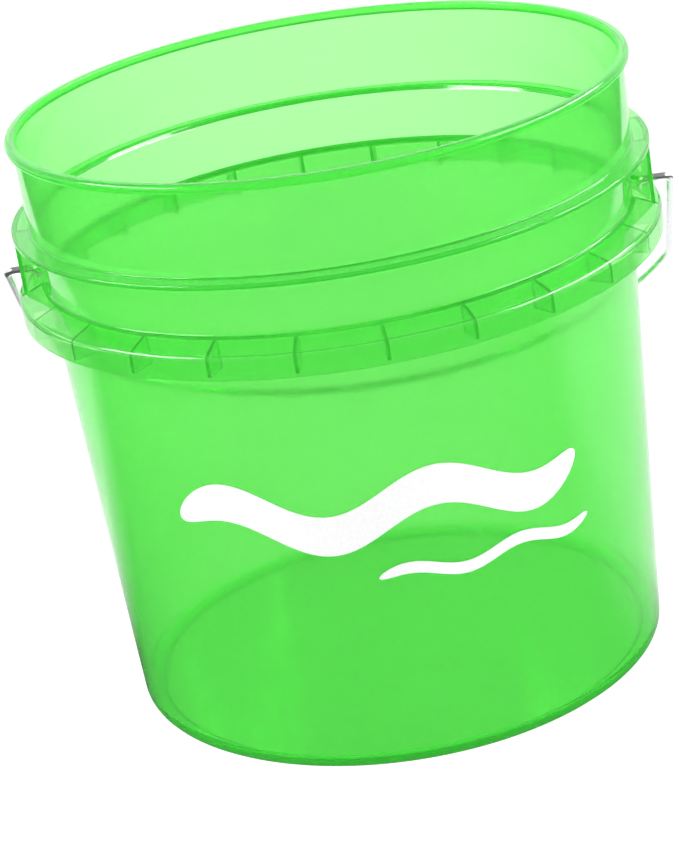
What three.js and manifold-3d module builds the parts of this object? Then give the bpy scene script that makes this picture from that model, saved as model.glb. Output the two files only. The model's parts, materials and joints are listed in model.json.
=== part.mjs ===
// Wash bucket: a translucent moulded pail with a swinging wire bail.
//
// Millimetres, +Z up. The origin is the centre of the base, on the surface that the bucket stands on.
// The two bail ears are on the X axis. At rest the bail hangs down behind the bucket, on the +Y side.

import * as THREE from 'three';
import { mergeVertices } from 'three/addons/utils/BufferGeometryUtils.js';
import Module from 'manifold-3d';

const wasm = await Module();
wasm.setup();

// ---- Driving dimensions ----

const bucketHeight = 300;
const wallThickness = 2.2;
const embed = 0.8;                 // how far a rib or ring reaches into the wall that it is joined to

// Fineness: sides of round shapes, and straight steps in an arc
const roundSegments = 72;
const footCornerSteps = 4;
const smallArcSteps = 3;
const wireBendSteps = 5;           // in each of the wire's tight bends
const wireBowSteps = 14;           // from a leg to the middle of the bow
const weldDistance = 1e-4;         // vertices this close are one vertex

// Base: a foot ring that the bucket stands on, round a raised floor
const baseRadius = 134;            // outside of the wall, carried down to z = 0
const footCornerRadius = 6;
const footRingWidth = 3;
const footRecess = 1.5;
const floorThickness = 3;
const floorFilletRadius = 4;

// Neck: the wall above the flange
const neckLowerRadius = 147.3;
const neckUpperRadius = 148;

// Rim bead
const rimRadius = 151;
const rimHeight = 4.4;
const rimRounding = 1.3;

// Flange: a thin horizontal ring below the neck
const flangeRadius = 156;
const flangeTop = 255.3;
const flangeThickness = 2.3;

// Skirt: a sloped ledge that turns down into an outer face
const bodyTopRadius = 146;         // outside of the wall, just below the flange
const ledgeTopAtWall = 227.6;
const ledgeTopAtEdge = 222.4;
const ledgeThickness = 2.2;
const skirtRadius = 158.3;
const skirtBottom = 210.8;
const skirtFaceThickness = 2.2;
const skirtEdgeRounding = 1.6;

// Webs below the ledge
const webCount = 24;
const webThickness = 1.6;
const webBottom = 212.4;

// Ears: a plate between flange and skirt, with a rib at each side and an open bottom
const earPlateOuterRadius = 156.3;
const earPlateThickness = 2.6;
const earPlateHalfWidth = 21.4;
const earPlateBottom = 218.6;
const earWellHalfWidth = 18;
const earWellClearance = 0.3;      // the ledge is cut away to this far short of the plate's inner face
const hingeHeight = 229.5;
const hingeHoleRadius = 2.5;
const hingeHoleSides = 24;
const boreOverrun = 2;             // how far the hole's cutter reaches past the skirt

// Bail wire
const wireRadius = 1.8;
const wireSides = 12;
const tailLength = 8;              // from the hinge axis to the end of the hook inside the ear
const tailOffset = 149.7;          // X of the hook's centre line
const hookBendRadius = 3.4;
const legOffset = 164.3;           // X of the leg's centre line
const shoulderBendRadius = 4.5;
const legLength = 83;              // from the hinge axis to the start of the bow
const kinkBendLength = 5;          // straight length that the bend between leg and bow takes up, each way
const bailReach = 198;             // from the hinge axis to the middle of the bow
const bailWallGap = 0.5;           // between the resting bow and the wall

// ---- Materials ----

const greenPlastic = new THREE.MeshStandardMaterial({
  color: 0x4be23c,
  roughness: 0.15,
  metalness: 0,
  transparent: true,
  opacity: 0.75,
});

const brightSteel = new THREE.MeshStandardMaterial({
  color: 0xc9cdd0,
  roughness: 0.25,
  metalness: 1,
});

// ---- Solids: geometry into a manifold and back ----

function toSolid(geometry) {
  const bare = geometry.clone();
  bare.deleteAttribute('normal');
  bare.deleteAttribute('uv');
  const merged = mergeVertices(bare, weldDistance);
  const mesh = new wasm.Mesh({
    numProp: 3,
    vertProperties: new Float32Array(merged.attributes.position.array),
    triVerts: new Uint32Array(merged.index.array),
  });
  return new wasm.Manifold(mesh);
}

function toGeometry(solid) {
  const mesh = solid.getMesh();
  const geometry = new THREE.BufferGeometry();
  geometry.setAttribute('position', new THREE.BufferAttribute(mesh.vertProperties, 3));
  geometry.setIndex(new THREE.BufferAttribute(mesh.triVerts, 1));
  geometry.computeVertexNormals();
  return geometry;
}

// ---- Shapes ----

// Outside radius of the tapered wall below the flange, at height z.
function bodyRadius(z) {
  const taperTop = flangeTop - flangeThickness;
  return baseRadius + (bodyTopRadius - baseRadius) * z / taperTop;
}

// Points of an arc in a profile, first and last angle in degrees, both ends included.
function arcPoints(centreR, centreZ, radius, firstAngle, lastAngle, steps) {
  const points = [];
  for (let i = 0; i <= steps; i += 1) {
    const angle = THREE.MathUtils.degToRad(firstAngle + (lastAngle - firstAngle) * i / steps);
    points.push(new THREE.Vector2(centreR + radius * Math.cos(angle), centreZ + radius * Math.sin(angle)));
  }
  return points;
}

// A solid of revolution about Z. The profile runs anticlockwise in the (radius, z) plane.
function revolve(profile) {
  const lathe = new THREE.LatheGeometry(profile, roundSegments);
  lathe.rotateX(Math.PI / 2);
  return toSolid(lathe);
}

function boxSolid(min, max) {
  const size = new THREE.Vector3().subVectors(max, min);
  const centre = new THREE.Vector3().addVectors(min, max).multiplyScalar(0.5);
  const box = new THREE.BoxGeometry(size.x, size.y, size.z);
  box.translate(centre.x, centre.y, centre.z);
  return toSolid(box);
}

// A flat plate of the given outline in the (radius, z) plane, centred on the plane at this azimuth.
function radialPlate(outline, thickness, azimuth) {
  const plate = new THREE.ExtrudeGeometry(new THREE.Shape(outline), {
    depth: thickness,
    steps: 1,
    bevelEnabled: false,
  });
  plate.translate(0, 0, -thickness / 2);
  plate.rotateX(Math.PI / 2);
  plate.rotateZ(azimuth);
  return toSolid(plate);
}

// Wall, floor, foot ring and rim: an open-topped vessel.
function makeVessel() {
  const footOuter = bodyRadius(0);
  const footRingInner = footOuter - footCornerRadius - footRingWidth;
  const floorTop = footRecess + floorThickness;
  const innerFloorRadius = bodyRadius(floorTop) - wallThickness;
  const innerBodyTop = bodyTopRadius - wallThickness;
  const innerNeckTop = neckUpperRadius - wallThickness;
  const rimUnderside = bucketHeight - rimHeight;
  const profile = [
    new THREE.Vector2(0, footRecess),
    new THREE.Vector2(footRingInner - footRecess / 2, footRecess),
    new THREE.Vector2(footRingInner, 0),
    ...arcPoints(
      footOuter - footCornerRadius, footCornerRadius, footCornerRadius, -90, 0, footCornerSteps),
    new THREE.Vector2(bodyTopRadius, flangeTop - flangeThickness),
    new THREE.Vector2(neckLowerRadius, flangeTop),
    new THREE.Vector2(neckUpperRadius, rimUnderside),
    new THREE.Vector2(rimRadius - rimRounding / 2, rimUnderside),
    ...arcPoints(
      rimRadius - rimRounding, bucketHeight - rimRounding, rimRounding, 0, 90, smallArcSteps),
    ...arcPoints(
      innerNeckTop + rimRounding, bucketHeight - rimRounding, rimRounding, 90, 180, smallArcSteps),
    new THREE.Vector2(neckLowerRadius - wallThickness, flangeTop),
    new THREE.Vector2(innerBodyTop, flangeTop - flangeThickness),
    ...arcPoints(
      innerFloorRadius - floorFilletRadius, floorTop + floorFilletRadius, floorFilletRadius,
      0, -90, smallArcSteps),
    new THREE.Vector2(0, floorTop),
  ];
  return revolve(profile);
}

function makeFlange() {
  const underside = flangeTop - flangeThickness;
  return revolve([
    new THREE.Vector2(bodyTopRadius - embed, underside),
    new THREE.Vector2(flangeRadius, underside),
    new THREE.Vector2(flangeRadius, flangeTop),
    new THREE.Vector2(bodyTopRadius - embed, flangeTop),
    new THREE.Vector2(bodyTopRadius - embed, underside),
  ]);
}

// Height of the ledge's underside at a radius outside the wall.
function ledgeUnderside(radius) {
  const wallRadius = bodyRadius(ledgeTopAtWall);
  const slope = (ledgeTopAtEdge - ledgeTopAtWall) / (skirtRadius - wallRadius);
  return ledgeTopAtWall - ledgeThickness + slope * (radius - wallRadius);
}

function makeSkirt() {
  const inside = bodyRadius(skirtBottom) - embed;
  const faceInner = skirtRadius - skirtFaceThickness;
  return revolve([
    new THREE.Vector2(inside, ledgeUnderside(inside)),
    new THREE.Vector2(faceInner, ledgeUnderside(faceInner)),
    new THREE.Vector2(faceInner, skirtBottom),
    new THREE.Vector2(skirtRadius, skirtBottom),
    new THREE.Vector2(skirtRadius, ledgeTopAtEdge - skirtEdgeRounding),
    new THREE.Vector2(skirtRadius - skirtEdgeRounding, ledgeTopAtEdge + skirtEdgeRounding / 2),
    new THREE.Vector2(inside, ledgeUnderside(inside) + ledgeThickness),
    new THREE.Vector2(inside, ledgeUnderside(inside)),
  ]);
}

// One web: it fills the corner between wall, ledge and skirt face.
function makeWeb(azimuth) {
  const inner = bodyRadius(webBottom) - embed;
  const outer = skirtRadius - skirtFaceThickness + embed;
  const intoLedge = ledgeThickness / 2;
  return radialPlate([
    new THREE.Vector2(inner, webBottom),
    new THREE.Vector2(outer, webBottom),
    new THREE.Vector2(outer, ledgeUnderside(outer) + intoLedge),
    new THREE.Vector2(inner, ledgeUnderside(inner) + intoLedge),
  ], webThickness, azimuth);
}

// A rib at the side of an ear, from below the ledge up to the flange.
function makeEarRib(azimuth) {
  const outer = earPlateOuterRadius - earPlateThickness / 2;
  const top = flangeTop - flangeThickness / 2;
  return radialPlate([
    new THREE.Vector2(bodyRadius(webBottom) - embed, webBottom),
    new THREE.Vector2(outer, webBottom),
    new THREE.Vector2(outer, top),
    new THREE.Vector2(bodyRadius(top) - embed, top),
  ], webThickness, azimuth);
}

// The outer plates of both ears: a thin ring cut down to one stretch at each side.
function makeEarPlates() {
  const top = flangeTop - flangeThickness / 2;
  const inner = earPlateOuterRadius - earPlateThickness;
  const ring = revolve([
    new THREE.Vector2(inner, earPlateBottom),
    new THREE.Vector2(earPlateOuterRadius, earPlateBottom),
    new THREE.Vector2(earPlateOuterRadius, top),
    new THREE.Vector2(inner, top),
    new THREE.Vector2(inner, earPlateBottom),
  ]);
  const keep = boxSolid(
    new THREE.Vector3(-skirtRadius, -earPlateHalfWidth, 0),
    new THREE.Vector3(skirtRadius, earPlateHalfWidth, bucketHeight));
  return ring.intersect(keep);
}

// The space inside both ears, which stays open downwards through the ledge.
function makeEarWells() {
  const outer = earPlateOuterRadius - earPlateThickness - earWellClearance;
  return boxSolid(
    new THREE.Vector3(-outer, -earWellHalfWidth, 0),
    new THREE.Vector3(outer, earWellHalfWidth, bucketHeight));
}

// One round bar through both ear plates, to cut the hinge holes.
function makeHingeBore() {
  const length = 2 * (skirtRadius + boreOverrun);
  const bore = new THREE.CylinderGeometry(hingeHoleRadius, hingeHoleRadius, length, hingeHoleSides);
  bore.rotateZ(Math.PI / 2);
  bore.translate(0, 0, hingeHeight);
  return toSolid(bore);
}

function makeBucketGeometry() {
  const skirt = makeSkirt().subtract(makeEarWells());
  const earPlates = makeEarPlates().subtract(makeHingeBore());
  let bucket = makeVessel().add(makeFlange()).add(skirt).add(earPlates);
  const pitch = 2 * Math.PI / webCount;
  for (let i = 0; i < webCount; i += 1) {
    const azimuth = (i + 0.5) * pitch;
    const besideEar = Math.abs(Math.cos(azimuth)) > Math.cos(pitch);
    const plate = besideEar ? makeEarRib(azimuth) : makeWeb(azimuth);
    bucket = bucket.add(plate);
  }
  return toGeometry(bucket);
}

// The bail's centre line in its own plane: X across the bucket, Y away from the hinge axis.
// It is a list of stations, close together in the bends and far apart on the straights.
class WirePath extends THREE.Curve {
  constructor(stations) {
    super();
    this.stations = stations;
  }

  getPoint(t, target = new THREE.Vector3()) {
    const last = this.stations.length - 1;
    const index = Math.min(Math.round(t * last), last);
    return target.copy(this.stations[index]);
  }

  getPointAt(u, target) {
    return this.getPoint(u, target);
  }

  getTangentAt(u, target = new THREE.Vector3()) {
    const last = this.stations.length - 1;
    const index = Math.min(Math.round(u * last), last);
    const before = this.stations[Math.max(index - 1, 0)];
    const here = this.stations[index];
    const after = this.stations[Math.min(index + 1, last)];
    const incoming = new THREE.Vector3().subVectors(here, before).normalize();
    const outgoing = new THREE.Vector3().subVectors(after, here).normalize();
    return target.addVectors(incoming, outgoing).normalize();
  }
}

function makeBailStations() {
  const half = [new THREE.Vector2(tailOffset, tailLength)];
  half.push(...arcPoints(
    tailOffset + hookBendRadius, hookBendRadius, hookBendRadius, 180, 270, wireBendSteps));
  half.push(...arcPoints(
    legOffset - shoulderBendRadius, shoulderBendRadius, shoulderBendRadius, -90, 0, wireBendSteps));

  // Bow: an arc through the ends of both legs and the middle of the bail.
  const rise = bailReach - legLength;
  const bowRadius = (legOffset ** 2 + rise ** 2) / (2 * rise);
  const bowCentre = bailReach - bowRadius;
  const bowStart = Math.atan2(legLength - bowCentre, legOffset);
  const bowFirst = THREE.MathUtils.radToDeg(bowStart + kinkBendLength / bowRadius);
  const bow = arcPoints(0, bowCentre, bowRadius, bowFirst, 90, wireBowSteps);

  // The bend between leg and bow, as a quadratic curve that leaves both of them smoothly.
  const kink = new THREE.QuadraticBezierCurve(
    new THREE.Vector2(legOffset, legLength - kinkBendLength),
    new THREE.Vector2(legOffset, legLength),
    bow[0]);
  half.push(...kink.getPoints(smallArcSteps).slice(0, -1));
  half.push(...bow);

  const otherHalf = half.slice(0, -1).reverse().map((point) => new THREE.Vector2(-point.x, point.y));
  return [...half, ...otherHalf].map((point) => new THREE.Vector3(point.x, point.y, 0));
}

function makeBailGeometry() {
  const stations = makeBailStations();
  const section = new THREE.Shape(arcPoints(0, 0, wireRadius, 0, 360, wireSides).slice(0, -1));
  return new THREE.ExtrudeGeometry(section, {
    extrudePath: new WirePath(stations),
    steps: stations.length - 1,
  });
}

// How far the hanging bail slopes below the horizontal when its bow rests against the tapered wall.
function bailDroop() {
  const taper = (bodyTopRadius - baseRadius) / (flangeTop - flangeThickness);
  const touchDistance = bodyRadius(hingeHeight) + wireRadius + bailWallGap;
  return Math.atan(taper) + Math.acos(touchDistance / (bailReach * Math.hypot(1, taper)));
}

// ---- Assembly ----

const washBucket = new THREE.Group();

const bucket = new THREE.Mesh(makeBucketGeometry(), greenPlastic);
bucket.name = 'bucket';
washBucket.add(bucket);

const bail = new THREE.Mesh(makeBailGeometry(), brightSteel);
bail.name = 'bail';
bail.position.z = hingeHeight;
bail.rotation.x = -bailDroop();
washBucket.add(bail);

export default washBucket;
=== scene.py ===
"""The looks of the wash bucket: a translucent green moulding, its white screen print and its wire bail.

Metres, +Z up, the origin at the centre of the base. The bail's ears are on the X axis, and the camera looks
along +Y. Dimensions that the CAD model also has are repeated here by name. Heights and radii that end an
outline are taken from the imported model's boxes.
"""

import json
import math

import bmesh
import bpy
from mathutils import Matrix, Vector


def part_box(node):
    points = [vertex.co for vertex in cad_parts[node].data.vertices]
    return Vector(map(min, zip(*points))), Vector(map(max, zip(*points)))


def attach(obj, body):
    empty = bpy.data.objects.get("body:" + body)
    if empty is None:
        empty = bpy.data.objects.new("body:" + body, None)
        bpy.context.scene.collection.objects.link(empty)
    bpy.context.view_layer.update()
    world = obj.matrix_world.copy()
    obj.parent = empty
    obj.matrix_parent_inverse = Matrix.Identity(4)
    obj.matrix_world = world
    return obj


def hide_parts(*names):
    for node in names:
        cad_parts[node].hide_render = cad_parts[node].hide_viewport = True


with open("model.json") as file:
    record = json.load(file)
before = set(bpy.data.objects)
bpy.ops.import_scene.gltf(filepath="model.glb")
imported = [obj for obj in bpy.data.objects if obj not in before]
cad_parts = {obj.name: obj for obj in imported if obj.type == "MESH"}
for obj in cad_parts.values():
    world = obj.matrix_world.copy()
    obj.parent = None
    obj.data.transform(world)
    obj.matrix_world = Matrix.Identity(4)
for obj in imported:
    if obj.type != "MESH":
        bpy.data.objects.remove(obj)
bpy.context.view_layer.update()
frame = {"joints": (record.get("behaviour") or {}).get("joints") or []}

MM = 0.001
bucket_low, bucket_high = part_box("bucket")
hinge = next(joint for joint in frame["joints"] if joint["name"] == "bail_hinge")

# ---- Driving dimensions of the bucket ----

height = bucket_high.z
skirt_radius = bucket_high.x
wall_thickness = 2.2 * MM

base_radius = 134 * MM
foot_corner_radius = 6 * MM
foot_ring_width = 3 * MM
foot_recess = 1.5 * MM
floor_thickness = 3 * MM
floor_fillet_radius = 4 * MM

neck_lower_radius = 147.3 * MM
neck_upper_radius = 148 * MM
rim_radius = 151 * MM
rim_height = 4.4 * MM

flange_radius = 156 * MM
flange_top = 255.3 * MM
flange_thickness = 2.3 * MM
flange_underside = flange_top - flange_thickness

body_top_radius = 146 * MM
ledge_top_at_wall = 227.6 * MM
ledge_top_at_edge = 222.4 * MM
ledge_thickness = 2.2 * MM
skirt_bottom = 210.8 * MM
skirt_face_inner = skirt_radius - 2.2 * MM

web_count = 24
web_thickness = 1.6 * MM
web_bottom = 212.4 * MM

ear_plate_outer = 156.3 * MM
ear_plate_thickness = 2.6 * MM
ear_plate_inner = ear_plate_outer - ear_plate_thickness
ear_plate_stand = ear_plate_outer - 0.8 * MM    # where an ear's plate leaves the ledge and the flange

hinge_height = hinge["pos_m"][2]
hinge_hole_radius = 2.5 * MM
hinge_hole_inner = ear_plate_inner - 1.5 * MM
hinge_hole_outer = skirt_radius + 2 * MM

# ---- Driving dimensions of the bail ----

wire_radius = 1.8 * MM
wire_end_chamfer = 0.4 * MM
tail_length = 8 * MM
tail_offset = 149.7 * MM
hook_bend_radius = 3.4 * MM
leg_offset = 164.3 * MM
shoulder_bend_radius = 4.5 * MM
leg_length = 83 * MM
kink_bend_length = 5 * MM
bail_reach = 198 * MM
bail_wall_gap = 0.5 * MM

# ---- Print: two waves, each from one azimuth to another (degrees) at a height of its own ----

ink_thickness = 0.12 * MM
ink_clearance = 0.02 * MM           # between the wall and the ink's closed mesh
broad_wave = {"first": -129, "last": -46, "z": 134 * MM, "swing": 9 * MM, "width": 20 * MM}
thin_wave = {"first": -90, "last": -44, "z": 101 * MM, "swing": 3 * MM, "width": 6 * MM}
waves_in_band = 2
end_taper = 0.99                    # how nearly a wave's width closes at its ends
end_roundness = 8                   # higher keeps the width even for longer

# ---- Depth of the plastic, per metre ----

tint_density = 435
haze_density = 90

# ---- Studio ----

camera_place = (0.0546, -1.3019, 0.6370)
camera_yaw = -0.0531
camera_pitch = 0.3767
camera_roll = -0.1609
camera_lens = 116.38

light_aim = (0, 0, 0.22)
left_strip = {"place": (-1.2, -0.25, 1.07), "size": (1.0, 0.25), "watts": 14}
right_strip = {"place": (1.1, 0.08, 0.94), "size": (1.6, 0.25), "watts": 20}

floor_half_side = 8
floor_gap = 0.3 * MM                # between the floor and the foot ring

# Brightness of the surroundings: as the camera sees them, as they light the bucket and show through it,
# and as the plastic and the steel mirror them.
white_background = 1.06
world_glow = 0.85
near_floor_glow = 0.95
far_floor_glow = 1.2
floor_glow_fade = (0.7, 1.3)        # from the near to the far value, along Y
white_image = 1.1
dim_front = 0.1
dim_walls = 0.3

# Where the mirror images change, on the floor and in a direction to the surroundings above it.
front_slant = 0.3                   # how fast the dim front's far edge comes forward, per metre along X
front_fade = (-0.02, 0.1)
dim_sides_middle = -0.025
dim_sides_fade = (0.615, 0.655)         # inner edge of the dim side bands, painted into the floor only as mirror images see it, either side of their middle
dim_sides_far_fade = (0.85, 0.95)
walls_fade = (0.5, 0.85)

light_bounces = 48                  # light runs a long way inside the plastic
haze_bounces = 12

# ---- Fineness of meshes and of texture ----

steps_between_webs = 16
arc_step = math.radians(15)
bore_sides = 48
wire_sides = 32
wire_bend_step = math.radians(6)
kink_steps = 10
half_bow_steps = 60
ink_steps_per_degree = 2
bucket_sharp_angle = math.radians(32)
wire_sharp_angle = math.radians(40)
noise_range = (0.3, 0.7)            # most of a noise texture's values


# ---- Mesh helpers ----

def add_object(name, mesh):
    piece = bpy.data.objects.new(name, mesh)
    bpy.context.scene.collection.objects.link(piece)
    return piece


def mesh_from(name, vertices, faces):
    mesh = bpy.data.meshes.new(name)
    mesh.from_pydata(vertices, [], faces)
    mesh.validate()
    shape = bmesh.new()
    shape.from_mesh(mesh)
    bmesh.ops.recalc_face_normals(shape, faces=shape.faces)
    shape.to_mesh(mesh)
    shape.free()
    return mesh


def apply_modifiers(piece):
    """Replaces the object's mesh with what its modifiers make of it."""
    graph = bpy.context.evaluated_depsgraph_get()
    mesh = bpy.data.meshes.new_from_object(piece.evaluated_get(graph))
    piece.modifiers.clear()
    piece.data = mesh


def smooth(piece, sharpest):
    """Smooth shading, sharp at edges above an angle. Large faces keep their own normals up to a fillet."""
    piece.data.shade_smooth()
    piece.data.set_sharp_from_angle(angle=sharpest)
    weighted = piece.modifiers.new("weighted_normals", "WEIGHTED_NORMAL")
    weighted.mode = "FACE_AREA_WITH_ANGLE"
    weighted.keep_sharp = True
    apply_modifiers(piece)


def rounded(corners):
    """Outline points of a run of corners (r, z, radius). Every corner between the ends becomes an arc."""
    points = [Vector(corners[0][:2])]
    for before, here, after in zip(corners, corners[1:], corners[2:]):
        corner = Vector(here[:2])
        inward = (corner - Vector(before[:2])).normalized()
        outward = (Vector(after[:2]) - corner).normalized()
        turn = math.atan2(inward.cross(outward), inward.dot(outward))
        radius = here[2]
        if radius == 0:
            points.append(corner)
            continue
        side = math.copysign(1, turn)
        start = corner - inward * radius * math.tan(abs(turn) / 2)
        centre = start + Vector((-inward.y, inward.x)) * radius * side
        steps = max(2, math.ceil(abs(turn) / arc_step))
        for i in range(steps + 1):
            points.append(centre + Matrix.Rotation(turn * i / steps, 2) @ (start - centre))
    points.append(Vector(corners[-1][:2]))
    return points


# ---- Bucket outline, in stretches that its sections share ----

def body_radius(z):
    """Outside radius of the tapered wall below the flange."""
    return base_radius + (body_top_radius - base_radius) * z / flange_underside


def ledge_top(radius):
    """Height of the ledge's upper face at a radius outside the wall."""
    wall = body_radius(ledge_top_at_wall)
    slope = (ledge_top_at_edge - ledge_top_at_wall) / (skirt_radius - wall)
    return ledge_top_at_wall + slope * (radius - wall)


def ledge_underside(radius):
    return ledge_top(radius) - ledge_thickness


def foot_stretch():
    """From the middle of the underside, round the foot ring and up the wall to the bottom of the webs."""
    ring_outer = base_radius
    ring_inner = ring_outer - foot_corner_radius - foot_ring_width
    return rounded([
        (0, foot_recess, 0),
        (ring_inner - foot_recess / 2, foot_recess, 1.0 * MM),
        (ring_inner, 0, 0.6 * MM),
        (ring_outer, 0, foot_corner_radius),
        (body_radius(web_bottom), web_bottom, 0),
    ])


def under_ledge_stretch():
    """The space under the ledge, from the wall to the inside of the skirt's face."""
    wall = body_radius(ledge_top_at_wall)
    return rounded([
        (body_radius(web_bottom), web_bottom, 0),
        (wall, ledge_underside(wall), 0.8 * MM),
        (skirt_face_inner, ledge_underside(skirt_face_inner), 0.8 * MM),
        (skirt_face_inner, web_bottom, 0),
    ])


def ear_well_stretch():
    """The space inside an ear, from the wall up to the flange and down behind the ear's plate."""
    return rounded([
        (body_radius(web_bottom), web_bottom, 0),
        (body_top_radius, flange_underside, 0.8 * MM),
        (ear_plate_inner, flange_underside, 0.8 * MM),
        (ear_plate_inner, ledge_underside(ear_plate_inner), 0.4 * MM),
        (skirt_face_inner, ledge_underside(skirt_face_inner), 0.4 * MM),
        (skirt_face_inner, web_bottom, 0),
    ])


def skirt_stretch():
    """The skirt's face and rounded edge, up to where an ear's plate stands on the ledge."""
    return rounded([
        (skirt_face_inner, web_bottom, 0),
        (skirt_face_inner, skirt_bottom, 0.5 * MM),
        (skirt_radius, skirt_bottom, 0.8 * MM),
        (skirt_radius, ledge_top(skirt_radius), 3.4 * MM),
        (ear_plate_stand, ledge_top(ear_plate_stand), 0),
    ])


def over_ledge_stretch():
    """The groove between ledge and flange."""
    return rounded([
        (ear_plate_stand, ledge_top(ear_plate_stand), 0),
        (body_radius(ledge_top_at_wall), ledge_top_at_wall, 1.2 * MM),
        (body_top_radius, flange_underside, 0.8 * MM),
        (ear_plate_stand, flange_underside, 0),
    ])


def neck_stretch():
    """From under the flange, up the neck, over the rim and down the inside to the middle of the floor."""
    floor_top = foot_recess + floor_thickness
    rim_underside = height - rim_height
    inner_rim = neck_upper_radius - wall_thickness
    return rounded([
        (ear_plate_stand, flange_underside, 0),
        (flange_radius, flange_underside, 0.4 * MM),
        (flange_radius, flange_top, 0.9 * MM),
        (neck_lower_radius, flange_top, 1.0 * MM),
        (neck_upper_radius, rim_underside, 0.5 * MM),
        (rim_radius, rim_underside, 1.4 * MM),
        (rim_radius, height, 2.4 * MM),
        (inner_rim, height, 1.4 * MM),
        (neck_lower_radius - wall_thickness, flange_top, 2 * MM),
        (body_top_radius - wall_thickness, flange_underside, 2 * MM),
        (body_radius(floor_top) - wall_thickness, floor_top, floor_fillet_radius),
        (0, floor_top, 0),
    ])


# ---- Bucket mesh: sections of four kinds, swept from one azimuth to the next ----

def section_kinds():
    """The stretches, each kind of section's outline, the pockets that it is open to, and the pockets' ends.

    An outline is a list of keys, and a key is (stretch, place in it), so that sections share their points.
    """
    stretches = {
        "foot": foot_stretch(),
        "under_ledge": under_ledge_stretch(),
        "ear_well": ear_well_stretch(),
        "skirt": skirt_stretch(),
        "over_ledge": over_ledge_stretch(),
        "neck": neck_stretch(),
    }
    inner = {"under_ledge", "ear_well", "over_ledge"}

    def keys(*names):
        run = []
        for name in names:
            count = len(stretches[name])
            used = range(1, count - 1) if name in inner else range(count)
            run.extend((name, i) for i in used)
        return run

    kinds = {
        "plain": keys("foot", "under_ledge", "skirt", "over_ledge", "neck"),
        "web": keys("foot", "skirt", "over_ledge", "neck"),
        "ear_rib": keys("foot", "skirt", "neck"),
        "ear_well": keys("foot", "ear_well", "skirt", "neck"),
    }
    pockets = {
        "plain": {"under_ledge", "over_ledge"},
        "web": {"over_ledge"},
        "ear_rib": set(),
        "ear_well": {"ear_well"},
    }
    pocket_ends = {
        "under_ledge": (("foot", len(stretches["foot"]) - 1), ("skirt", 0)),
        "ear_well": (("foot", len(stretches["foot"]) - 1), ("skirt", 0)),
        "over_ledge": (("skirt", len(stretches["skirt"]) - 1), ("neck", 0)),
    }
    return stretches, kinds, pockets, pocket_ends


def azimuth_stations():
    """The azimuths between sections, and the kind of section that follows each."""
    pitch = 2 * math.pi / web_count
    web_half = web_thickness / 2 / flange_radius
    stations = []
    for i in range(web_count):
        middle = (i + 0.5) * pitch
        beside_ear = abs(math.cos(middle)) > math.cos(pitch)
        after_middle = (i + 1) % web_count
        in_ear = after_middle in (0, web_count // 2)
        stations.append((middle - web_half, "ear_rib" if beside_ear else "web"))
        open_start = middle + web_half
        open_span = pitch - 2 * web_half
        for step in range(steps_between_webs):
            azimuth = open_start + open_span * step / steps_between_webs
            stations.append((azimuth, "ear_well" if in_ear else "plain"))
    return stations


def bucket_mesh():
    stretches, kinds, pockets, pocket_ends = section_kinds()
    stations = azimuth_stations()
    vertices = []
    index = {}

    def vertex(key, station):
        point = stretches[key[0]][key[1]]
        place = (key, None if point.x == 0 else station % len(stations))
        if place not in index:
            azimuth = stations[station % len(stations)][0]
            index[place] = len(vertices)
            vertices.append((point.x * math.cos(azimuth), point.x * math.sin(azimuth), point.y))
        return index[place]

    faces = []
    for station, (_, kind) in enumerate(stations):
        outline = kinds[kind]
        for a, b in zip(outline, outline[1:]):
            around = [(a, station), (a, station + 1), (b, station + 1), (b, station)]
            corners = [vertex(*corner) for corner in around]
            faces.append([v for i, v in enumerate(corners) if v != corners[i - 1]])
        before = stations[station - 1][1]
        for pocket in sorted(pockets[kind] ^ pockets[before]):
            first, last = pocket_ends[pocket]
            inner = [(pocket, i) for i in range(1, len(stretches[pocket]) - 1)]
            faces.append([vertex(key, station) for key in [first, *inner, last]])
    return mesh_from("bucket_shell", vertices, faces)


def cut(piece, tool):
    """Cuts the tool's shape out of the piece, and removes the tool."""
    boolean = piece.modifiers.new("cut", "BOOLEAN")
    boolean.operation = "DIFFERENCE"
    boolean.solver = "MANIFOLD"
    boolean.object = tool
    apply_modifiers(piece)
    piece.data.materials.clear()
    bpy.data.objects.remove(tool)


def short_bar(name, x_first, x_last, radius, z):
    """A closed round bar along X."""
    place = Matrix.Translation(((x_first + x_last) / 2, 0, z)) @ Matrix.Rotation(math.pi / 2, 4, "Y")
    shape = bmesh.new()
    bmesh.ops.create_cone(
        shape, cap_ends=True, segments=bore_sides, radius1=radius, radius2=radius,
        depth=abs(x_last - x_first), matrix=place)
    mesh = bpy.data.meshes.new(name)
    shape.to_mesh(mesh)
    shape.free()
    return add_object(name, mesh)


def make_bucket():
    piece = add_object("bucket_shell", bucket_mesh())
    for side in (-1, 1):
        tool = short_bar(
            "hinge_bore", side * hinge_hole_inner, side * hinge_hole_outer, hinge_hole_radius, hinge_height)
        cut(piece, tool)
    smooth(piece, bucket_sharp_angle)
    return piece


# ---- Bail ----

def arc(centre, radius, first, last, steps):
    angles = [math.radians(first + (last - first) * i / steps) for i in range(steps + 1)]
    return [Vector((centre[0] + radius * math.cos(a), centre[1] + radius * math.sin(a))) for a in angles]


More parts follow.
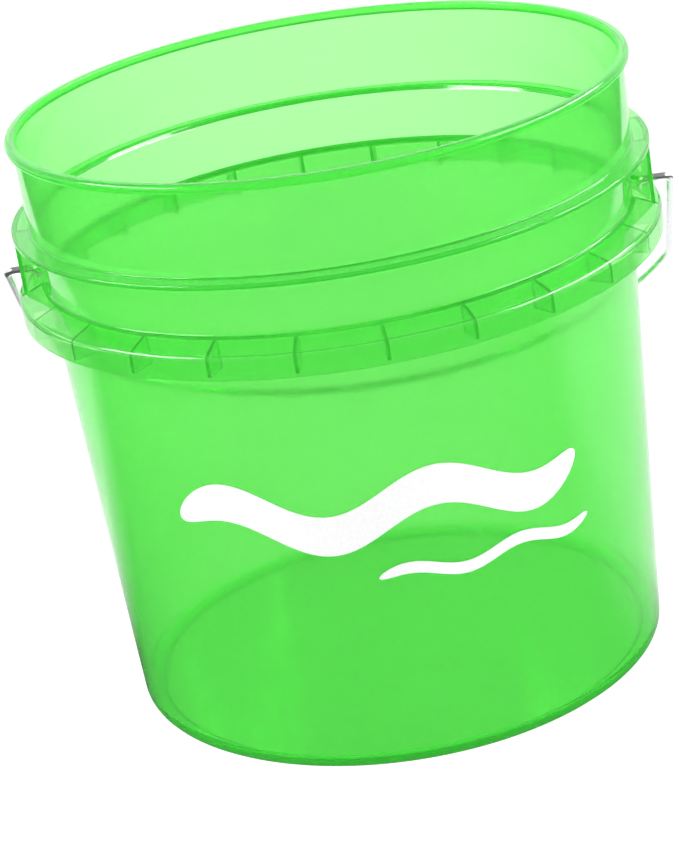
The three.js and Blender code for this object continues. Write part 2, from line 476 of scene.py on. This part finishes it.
def bail_line():
    """The centre line in the bail's own plane: X across the bucket, Y away from the hinge axis."""
    quarter = math.ceil(math.pi / 2 / wire_bend_step)
    half = [Vector((tail_offset, tail_length))]
    half += arc((tail_offset + hook_bend_radius, hook_bend_radius), hook_bend_radius, 180, 270, quarter)
    shoulder = (leg_offset - shoulder_bend_radius, shoulder_bend_radius)
    half += arc(shoulder, shoulder_bend_radius, -90, 0, quarter)

    rise = bail_reach - leg_length
    bow_radius = (leg_offset ** 2 + rise ** 2) / (2 * rise)
    bow_centre = bail_reach - bow_radius
    bow_start = math.atan2(leg_length - bow_centre, leg_offset) + kink_bend_length / bow_radius
    bow = arc((0, bow_centre), bow_radius, math.degrees(bow_start), 90, half_bow_steps)

    leg_end = Vector((leg_offset, leg_length - kink_bend_length))
    corner = Vector((leg_offset, leg_length))
    for i in range(kink_steps):
        t = i / kink_steps
        half.append(leg_end * (1 - t) ** 2 + corner * 2 * t * (1 - t) + bow[0] * t * t)
    half += bow
    return half + [Vector((-p.x, p.y)) for p in reversed(half[:-1])]


def bail_droop():
    """How far the resting bail slopes below the horizontal, with its bow against the tapered wall."""
    taper = (body_top_radius - base_radius) / flange_underside
    touch_distance = body_radius(hinge_height) + wire_radius + bail_wall_gap
    return math.atan(taper) + math.acos(touch_distance / (bail_reach * math.hypot(1, taper)))


def bail_mesh():
    line = bail_line()
    vertices = []
    faces = []

    def ring(centre, along, radius):
        across = Vector((along.y, -along.x))
        for i in range(wire_sides):
            angle = 2 * math.pi * i / wire_sides
            flat = centre + across * radius * math.cos(angle)
            vertices.append((flat.x, flat.y, radius * math.sin(angle)))

    rings = 0
    for i, point in enumerate(line):
        before = line[max(i - 1, 0)]
        after = line[min(i + 1, len(line) - 1)]
        along = ((point - before).normalized() + (after - point).normalized()).normalized()
        if i == 0:
            ring(point, along, wire_radius - wire_end_chamfer)
            point = point + along * wire_end_chamfer
        if i == len(line) - 1:
            ring(point - along * wire_end_chamfer, along, wire_radius)
            ring(point, along, wire_radius - wire_end_chamfer)
            rings += 2
            continue
        ring(point, along, wire_radius)
        rings += 2 if i == 0 else 1
    for r in range(rings - 1):
        for i in range(wire_sides):
            a = r * wire_sides + i
            b = r * wire_sides + (i + 1) % wire_sides
            faces.append((a, b, b + wire_sides, a + wire_sides))
    faces.append(list(range(wire_sides)))
    faces.append(list(range((rings - 1) * wire_sides, rings * wire_sides)))
    return mesh_from("bail_wire", vertices, faces)


def make_bail():
    piece = add_object("bail_wire", bail_mesh())
    place = Matrix.Translation((0, 0, hinge_height)) @ Matrix.Rotation(-bail_droop(), 4, "X")
    piece.data.transform(place)
    smooth(piece, wire_sharp_angle)
    return piece


# ---- Print ----

def wave_ribbon(vertices, faces, band):
    """Adds a closed ribbon of ink to the mesh lists. It follows a sine round the wall, with round ends."""
    start = len(vertices)
    span = band["last"] - band["first"]
    steps = ink_steps_per_degree * span
    for i in range(steps + 1):
        t = i / steps
        azimuth = math.radians(band["first"] + span * t)
        middle = band["z"] + band["swing"] * math.sin(2 * math.pi * waves_in_band * t)
        half = band["width"] / 2 * math.sqrt(1 - end_taper * (2 * t - 1) ** end_roundness)
        for out in (ink_clearance, ink_clearance + ink_thickness):
            for z in (middle - half, middle + half):
                radius = body_radius(z) + out
                vertices.append((radius * math.cos(azimuth), radius * math.sin(azimuth), z))
    for i in range(steps):
        a = start + 4 * i
        b = a + 4
        faces.append((a + 2, b + 2, b + 3, a + 3))
        faces.append((a, a + 1, b + 1, b))
        faces.append((a, b, b + 2, a + 2))
        faces.append((a + 1, a + 3, b + 3, b + 1))
    end = start + 4 * steps
    faces.append((start, start + 2, start + 3, start + 1))
    faces.append((end, end + 1, end + 3, end + 2))


def make_print():
    """A plain printed wave with a thinner one below it, as a thin layer of ink on the front of the wall."""
    vertices = []
    faces = []
    for band in (broad_wave, thin_wave):
        wave_ribbon(vertices, faces, band)
    return add_object("wave_print", mesh_from("wave_print", vertices, faces))


# ---- Node helpers ----

def new_material(name):
    material = bpy.data.materials.new(name)
    material.use_nodes = True
    nodes = material.node_tree.nodes
    return material, nodes, material.node_tree.links, nodes["Principled BSDF"]


def axes_node(nodes, links, coordinates):
    place = nodes.new("ShaderNodeTexCoord")
    axes = nodes.new("ShaderNodeSeparateXYZ")
    links.new(place.outputs[coordinates], axes.inputs["Vector"])
    return axes.outputs["X"], axes.outputs["Y"]


def noise_node(nodes, links, scale, detail):
    coordinates = nodes.new("ShaderNodeTexCoord")
    noise = nodes.new("ShaderNodeTexNoise")
    noise.inputs["Scale"].default_value = scale
    noise.inputs["Detail"].default_value = detail
    links.new(coordinates.outputs["Object"], noise.inputs["Vector"])
    return noise.outputs["Fac"]


def math_node(nodes, links, operation, *values):
    """A sum on numbers and on the outputs of other nodes."""
    node = nodes.new("ShaderNodeMath")
    node.operation = operation
    for socket, value in zip(node.inputs, values):
        if isinstance(value, float):
            socket.default_value = value
        else:
            links.new(value, socket)
    return node.outputs["Value"]


def fade_node(nodes, links, source, fade, low, high):
    """Goes evenly from low to high while the source goes through the fade, given as its start and end."""
    spread = nodes.new("ShaderNodeMapRange")
    spread.inputs["From Min"].default_value = fade[0]
    spread.inputs["From Max"].default_value = fade[1]
    spread.inputs["To Min"].default_value = low
    spread.inputs["To Max"].default_value = high
    links.new(source, spread.inputs["Value"])
    return spread.outputs["Result"]


def colour_node(nodes, links, noise, low, high):
    """Goes from one colour to another with the noise."""
    ramp = nodes.new("ShaderNodeValToRGB")
    for element, position, colour in zip(ramp.color_ramp.elements, noise_range, (low, high)):
        element.position = position
        element.color = (*colour, 1)
    links.new(noise, ramp.inputs["Fac"])
    return ramp.outputs["Color"]


def bump_node(nodes, links, noise, distance):
    bump = nodes.new("ShaderNodeBump")
    bump.inputs["Strength"].default_value = 0.3
    bump.inputs["Distance"].default_value = distance
    links.new(noise, bump.inputs["Height"])
    return bump.outputs["Normal"]


# ---- Materials of the pieces ----

def tinted_depth(nodes, links):
    """Takes red and blue out of the light on its way through the plastic, and scatters a little of it."""
    tint = nodes.new("ShaderNodeVolumeAbsorption")
    tint.inputs["Color"].default_value = (0.12, 0.992, 0, 1)
    tint.inputs["Density"].default_value = tint_density
    haze = nodes.new("ShaderNodeVolumeScatter")
    haze.inputs["Color"].default_value = (0.8, 1, 0.8, 1)
    haze.inputs["Density"].default_value = haze_density
    depth = nodes.new("ShaderNodeAddShader")
    links.new(tint.outputs["Volume"], depth.inputs[0])
    links.new(haze.outputs["Volume"], depth.inputs[1])
    return depth.outputs["Shader"]


def green_plastic():
    """Clear plastic with a green, slightly hazy depth, and the faint unevenness of a moulding."""
    material, nodes, links, shader = new_material("green_plastic")
    shader.inputs["Transmission Weight"].default_value = 0.98
    shader.inputs["IOR"].default_value = 1.49
    flow = noise_node(nodes, links, 9, 2)
    colour = colour_node(nodes, links, flow, (0.965, 0.98, 0.96), (0.99, 0.995, 0.985))
    links.new(colour, shader.inputs["Base Color"])
    grain = noise_node(nodes, links, 60, 3)
    links.new(fade_node(nodes, links, grain, noise_range, 0.05, 0.09), shader.inputs["Roughness"])
    links.new(bump_node(nodes, links, flow, 0.2 * MM), shader.inputs["Normal"])
    links.new(tinted_depth(nodes, links), nodes["Material Output"].inputs["Volume"])
    return material


def white_ink():
    material, nodes, links, shader = new_material("white_ink")
    grain = noise_node(nodes, links, 900, 3)
    colour = colour_node(nodes, links, grain, (0.86, 0.87, 0.86), (0.93, 0.93, 0.93))
    links.new(colour, shader.inputs["Base Color"])
    links.new(fade_node(nodes, links, grain, noise_range, 0.3, 0.45), shader.inputs["Roughness"])
    return material


def bright_steel():
    material, nodes, links, shader = new_material("bright_steel")
    shader.inputs["Metallic"].default_value = 1
    drawn = noise_node(nodes, links, 400, 4)
    colour = colour_node(nodes, links, drawn, (0.8, 0.81, 0.82), (0.9, 0.91, 0.92))
    links.new(colour, shader.inputs["Base Color"])
    links.new(fade_node(nodes, links, drawn, noise_range, 0.12, 0.3), shader.inputs["Roughness"])
    links.new(bump_node(nodes, links, drawn, 0.05 * MM), shader.inputs["Normal"])
    return material


# ---- Brightness of the floor and of the surroundings above it ----

def mirrored_ray(nodes, links):
    """1 for what is seen as a mirror image in a glossy surface, and 0 for everything else."""
    path = nodes.new("ShaderNodeLightPath")
    reflected = path.outputs["Is Reflection Ray"]
    diffuse = path.outputs["Is Diffuse Ray"]
    return math_node(nodes, links, "MAXIMUM", 0.0, math_node(nodes, links, "SUBTRACT", reflected, diffuse))


def white_to_camera(nodes, links, otherwise):
    """Just over white for what the camera sees directly, and the given brightness for everything else."""
    path = nodes.new("ShaderNodeLightPath")
    direct = math_node(nodes, links, "MULTIPLY", path.outputs["Is Camera Ray"], white_background)
    return math_node(nodes, links, "MAXIMUM", direct, otherwise)


def table_image(nodes, links):
    """The floor as a mirror image: white behind the bucket, with a dim front and a dim band at each side, all
    painted into the floor's brightness for mirror rays only.
    """
    x, y = axes_node(nodes, links, "Object")
    backward = math_node(nodes, links, "MULTIPLY_ADD", x, front_slant, y)
    behind = fade_node(nodes, links, backward, front_fade, 0, 1)
    # Dim bands at both sides are a painted reflection: the floor is dimmed there only where mirror rays see
    # it.
    from_middle = math_node(nodes, links, "ABSOLUTE", math_node(nodes, links, "SUBTRACT", x, dim_sides_middle))
    between_dim_sides = fade_node(nodes, links, from_middle, dim_sides_fade, 1, 0)
    past_dim_sides = fade_node(nodes, links, y, dim_sides_far_fade, 0, 1)
    clear = math_node(nodes, links, "MAXIMUM", between_dim_sides, past_dim_sides)
    white = math_node(nodes, links, "MULTIPLY", behind, clear)
    return fade_node(nodes, links, white, (0, 1), dim_front, white_image)


def wall_image(nodes, links):
    """The surroundings above the floor as a mirror image: white behind and at both sides, dim elsewhere."""
    x, y = axes_node(nodes, links, "Generated")
    sideways = math_node(nodes, links, "ABSOLUTE", x)
    away = math_node(nodes, links, "MAXIMUM", sideways, y)
    return fade_node(nodes, links, away, walls_fade, dim_walls, white_image)


def pale_floor():
    """A white table that is lit from below. What shows of it through the plastic is brighter farther back."""
    material, nodes, links, shader = new_material("pale_floor")
    shader.inputs["Base Color"].default_value = (0.12, 0.12, 0.12, 1)
    shader.inputs["Roughness"].default_value = 0.9
    shader.inputs["Emission Color"].default_value = (1, 1, 1, 1)
    y = axes_node(nodes, links, "Object")[1]
    through = fade_node(nodes, links, y, floor_glow_fade, near_floor_glow, far_floor_glow)
    links.new(white_to_camera(nodes, links, through), shader.inputs["Emission Strength"])
    mirror_image = nodes.new("ShaderNodeEmission")
    links.new(table_image(nodes, links), mirror_image.inputs["Strength"])
    mixed = nodes.new("ShaderNodeMixShader")
    links.new(mirrored_ray(nodes, links), mixed.inputs["Fac"])
    links.new(shader.outputs["BSDF"], mixed.inputs[1])
    links.new(mirror_image.outputs["Emission"], mixed.inputs[2])
    links.new(mixed.outputs["Shader"], nodes["Material Output"].inputs["Surface"])
    return material


# ---- Stage, lights and camera ----

def make_floor():
    side = floor_half_side
    corners = [(-side, -side, 0), (side, -side, 0), (side, side, 0), (-side, side, 0)]
    floor = add_object("floor", mesh_from("floor", corners, [(0, 1, 2, 3)]))
    floor.data.materials.append(pale_floor())
    floor.location.z = -floor_gap


def make_world():
    world = bpy.data.worlds.new("studio")
    bpy.context.scene.world = world
    world.use_nodes = True
    nodes, links = world.node_tree.nodes, world.node_tree.links
    strength = nodes.new("ShaderNodeMapRange")
    links.new(white_to_camera(nodes, links, world_glow), strength.inputs["To Min"])
    links.new(wall_image(nodes, links), strength.inputs["To Max"])
    links.new(mirrored_ray(nodes, links), strength.inputs["Value"])
    background = nodes["Background"]
    background.inputs["Color"].default_value = (1, 1, 1, 1)
    links.new(strength.outputs["Result"], background.inputs["Strength"])


def make_light(name, strip):
    data = bpy.data.lights.new(name, "AREA")
    data.shape = "RECTANGLE"
    data.size, data.size_y = strip["size"]
    data.energy = strip["watts"]
    lamp = bpy.data.objects.new(name, data)
    bpy.context.scene.collection.objects.link(lamp)
    lamp.location = strip["place"]
    lamp.rotation_mode = "QUATERNION"
    lamp.rotation_quaternion = (Vector(light_aim) - Vector(strip["place"])).to_track_quat("-Z", "Y")


def make_camera():
    """The camera stands in front, above the rim, and is rolled so that the bucket leans to the left."""
    data = bpy.data.cameras.new("camera")
    data.sensor_fit = "VERTICAL"
    data.sensor_height = 36
    data.lens = camera_lens
    camera = bpy.data.objects.new("camera", data)
    bpy.context.scene.collection.objects.link(camera)
    camera.location = camera_place
    camera.rotation_mode = "QUATERNION"
    level = Matrix.Rotation(-camera_yaw, 3, "Z") @ Matrix.Rotation(math.pi / 2 - camera_pitch, 3, "X")
    camera.rotation_quaternion = (level @ Matrix.Rotation(camera_roll, 3, "Z")).to_quaternion()
    bpy.context.scene.camera = camera


def main():
    scene = bpy.context.scene
    scene.view_settings.view_transform = "Standard"
    scene.cycles.max_bounces = light_bounces
    scene.cycles.transmission_bounces = light_bounces
    scene.cycles.glossy_bounces = light_bounces
    scene.cycles.volume_bounces = haze_bounces

    bucket = make_bucket()
    bucket.data.materials.append(green_plastic())
    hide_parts("bucket")
    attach(bucket, "bucket")

    ink = make_print()
    ink.data.materials.append(white_ink())
    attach(ink, "bucket")

    bail = make_bail()
    bail.data.materials.append(bright_steel())
    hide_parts("bail")
    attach(bail, "bail")

    make_floor()
    make_world()
    make_light("left_strip", left_strip)
    make_light("right_strip", right_strip)
    make_camera()


main()
